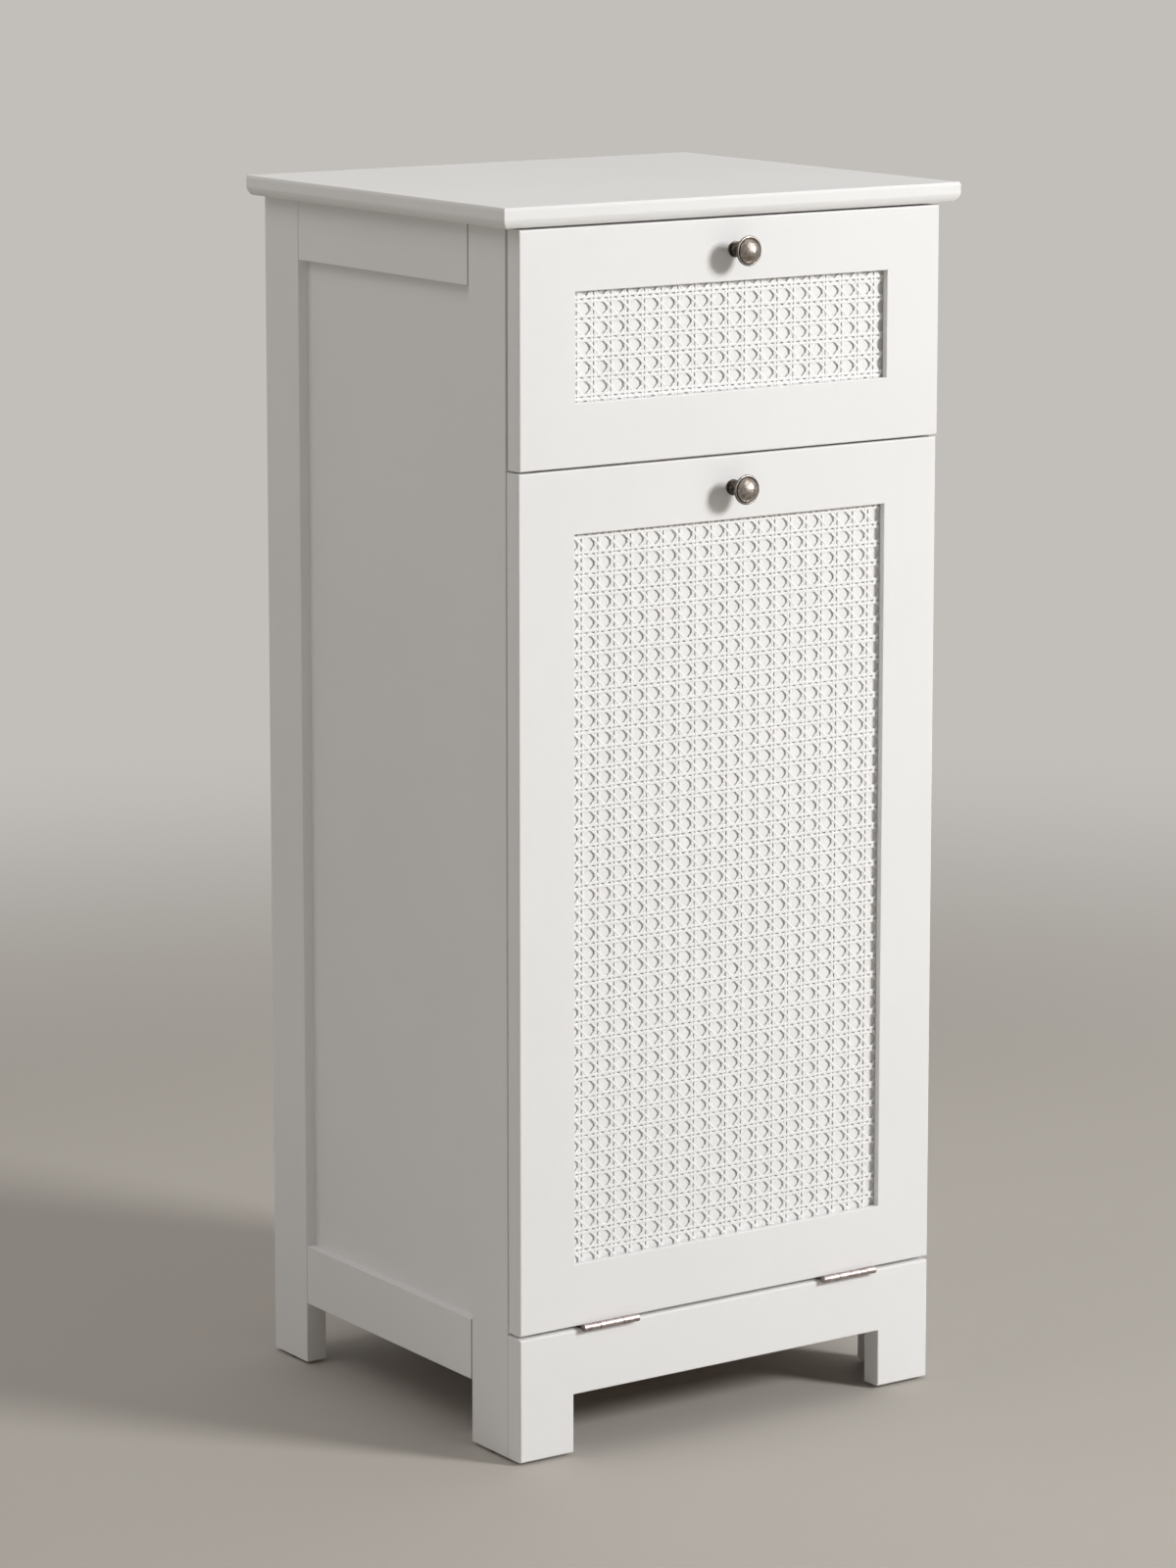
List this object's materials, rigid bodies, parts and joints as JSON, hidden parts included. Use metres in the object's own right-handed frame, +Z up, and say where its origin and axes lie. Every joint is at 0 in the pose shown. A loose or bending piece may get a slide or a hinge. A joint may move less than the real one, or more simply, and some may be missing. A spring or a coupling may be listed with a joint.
{
  "type": "tilt-out laundry cabinet",
  "caption": "Narrow white free-standing laundry cabinet with a cane-fronted drawer on roller slides above a tall cane door that tips forward on bottom hinges and carries a cloth bag.",
  "frame": {"origin": "on the floor, under the middle of the overall box", "axes": "+Z up, -Y the front with the drawer and door, +X to the right seen from the front"},
  "size_m": [0.434, 0.3968, 0.9837],
  "materials": {
    "white_paint": "satin white lacquer on MDF",
    "white_hardboard": "white-faced hardboard",
    "white_cane": "white-painted rattan cane webbing",
    "aged_nickel": "antique nickel plate",
    "hinge_nickel": "satin nickel plate",
    "zinc_steel": "bright zinc plate",
    "white_epoxy_steel": "white epoxy coat",
    "nylon": "natural white nylon",
    "glide_plastic": "dark moulded plastic",
    "clear_rubber": "milky clear bumper",
    "catch_plastic": "white moulded plastic",
    "bag_cloth": "natural cotton and linen canvas",
    "pine": "clear-lacquered pine"
  },
  "bodies": {
    "carcass": {"top_board": "white_paint", "left_front_leg": "white_paint", "right_front_leg": "white_paint", "left_rear_leg": "white_paint", "right_rear_leg": "white_paint", "left_side_top_rail": "white_paint", "right_side_top_rail": "white_paint", "left_side_bottom_rail": "white_paint", "right_side_bottom_rail": "white_paint", "left_side_panel": "white_paint", "right_side_panel": "white_paint", "front_plinth": "white_paint", "front_top_rail": "white_paint", "divider_rail": "white_paint", "rear_top_rail": "white_paint", "rear_bottom_rail": "white_paint", "back_panel": "white_hardboard", "floor_panel": "white_paint", "foot_glides": "glide_plastic", "left_cabinet_rail": "white_epoxy_steel", "right_cabinet_rail": "white_epoxy_steel", "left_hinge_base_leaf": "hinge_nickel", "right_hinge_base_leaf": "hinge_nickel", "hinge_pins": "hinge_nickel", "base_leaf_screws": "zinc_steel", "magnetic_catch": "catch_plastic", "door_bumpers": "clear_rubber", "carcass_screws": "zinc_steel"},
    "drawer": {"drawer_front": "white_paint", "drawer_cane_panel": "white_cane", "drawer_cane_backing": "white_paint", "drawer_box_front": "white_paint", "left_drawer_side": "white_paint", "right_drawer_side": "white_paint", "drawer_back": "white_paint", "drawer_bottom": "white_hardboard", "left_drawer_rail": "white_epoxy_steel", "right_drawer_rail": "white_epoxy_steel", "drawer_knob": "aged_nickel", "drawer_knob_screw": "zinc_steel", "drawer_front_screws": "zinc_steel"},
    "door": {"door_frame": "white_paint", "door_cane_panel": "white_cane", "door_cane_backing": "white_paint", "door_knob": "aged_nickel", "door_knob_screw": "zinc_steel", "left_hinge_door_leaf": "hinge_nickel", "right_hinge_door_leaf": "hinge_nickel", "door_leaf_screws": "zinc_steel", "bag_batten": "pine", "left_bag_arm": "pine", "right_bag_arm": "pine", "bag_rear_bar": "pine", "bag_frame_screws": "zinc_steel", "laundry_bag": "bag_cloth", "strike_plate": "zinc_steel"},
    "left_front_roller": {"left_front_roller": "nylon"},
    "right_front_roller": {"right_front_roller": "nylon"},
    "left_rear_roller": {"left_rear_roller": "nylon"},
    "right_rear_roller": {"right_rear_roller": "nylon"}
  },
  "joints": [
    {"name": "drawer_slide", "type": "slide", "parent": "carcass", "child": "drawer", "axis": [0, -1, 0], "range_m": [0, 0.25]},
    {"name": "door_tilt", "type": "hinge", "parent": "carcass", "child": "door", "pos_m": [0, -0.17495, 0.1032], "axis": [1, 0, 0], "range_deg": [0, 22]},
    {"name": "left_front_roller_spin", "type": "hinge", "parent": "carcass", "child": "left_front_roller", "pos_m": [-0.1768, -0.13955, 0.80515], "axis": [1, 0, 0], "range_deg": [0, 1600]},
    {"name": "right_front_roller_spin", "type": "hinge", "parent": "carcass", "child": "right_front_roller", "pos_m": [0.1768, -0.13955, 0.80515], "axis": [1, 0, 0], "range_deg": [0, 1600]},
    {"name": "left_rear_roller_spin", "type": "hinge", "parent": "drawer", "child": "left_rear_roller", "pos_m": [-0.1747, 0.15995, 0.80265], "axis": [1, 0, 0], "range_deg": [0, 1600]},
    {"name": "right_rear_roller_spin", "type": "hinge", "parent": "drawer", "child": "right_rear_roller", "pos_m": [0.1747, 0.15995, 0.80265], "axis": [1, 0, 0], "range_deg": [0, 1600]}
  ],
  "couplings": [
    {"joint": "left_front_roller_spin", "follows": "drawer_slide", "rad_per_m": 111.11},
    {"joint": "right_front_roller_spin", "follows": "drawer_slide", "rad_per_m": 111.11},
    {"joint": "left_rear_roller_spin", "follows": "drawer_slide", "rad_per_m": 111.11},
    {"joint": "right_rear_roller_spin", "follows": "drawer_slide", "rad_per_m": 111.11}
  ]
}
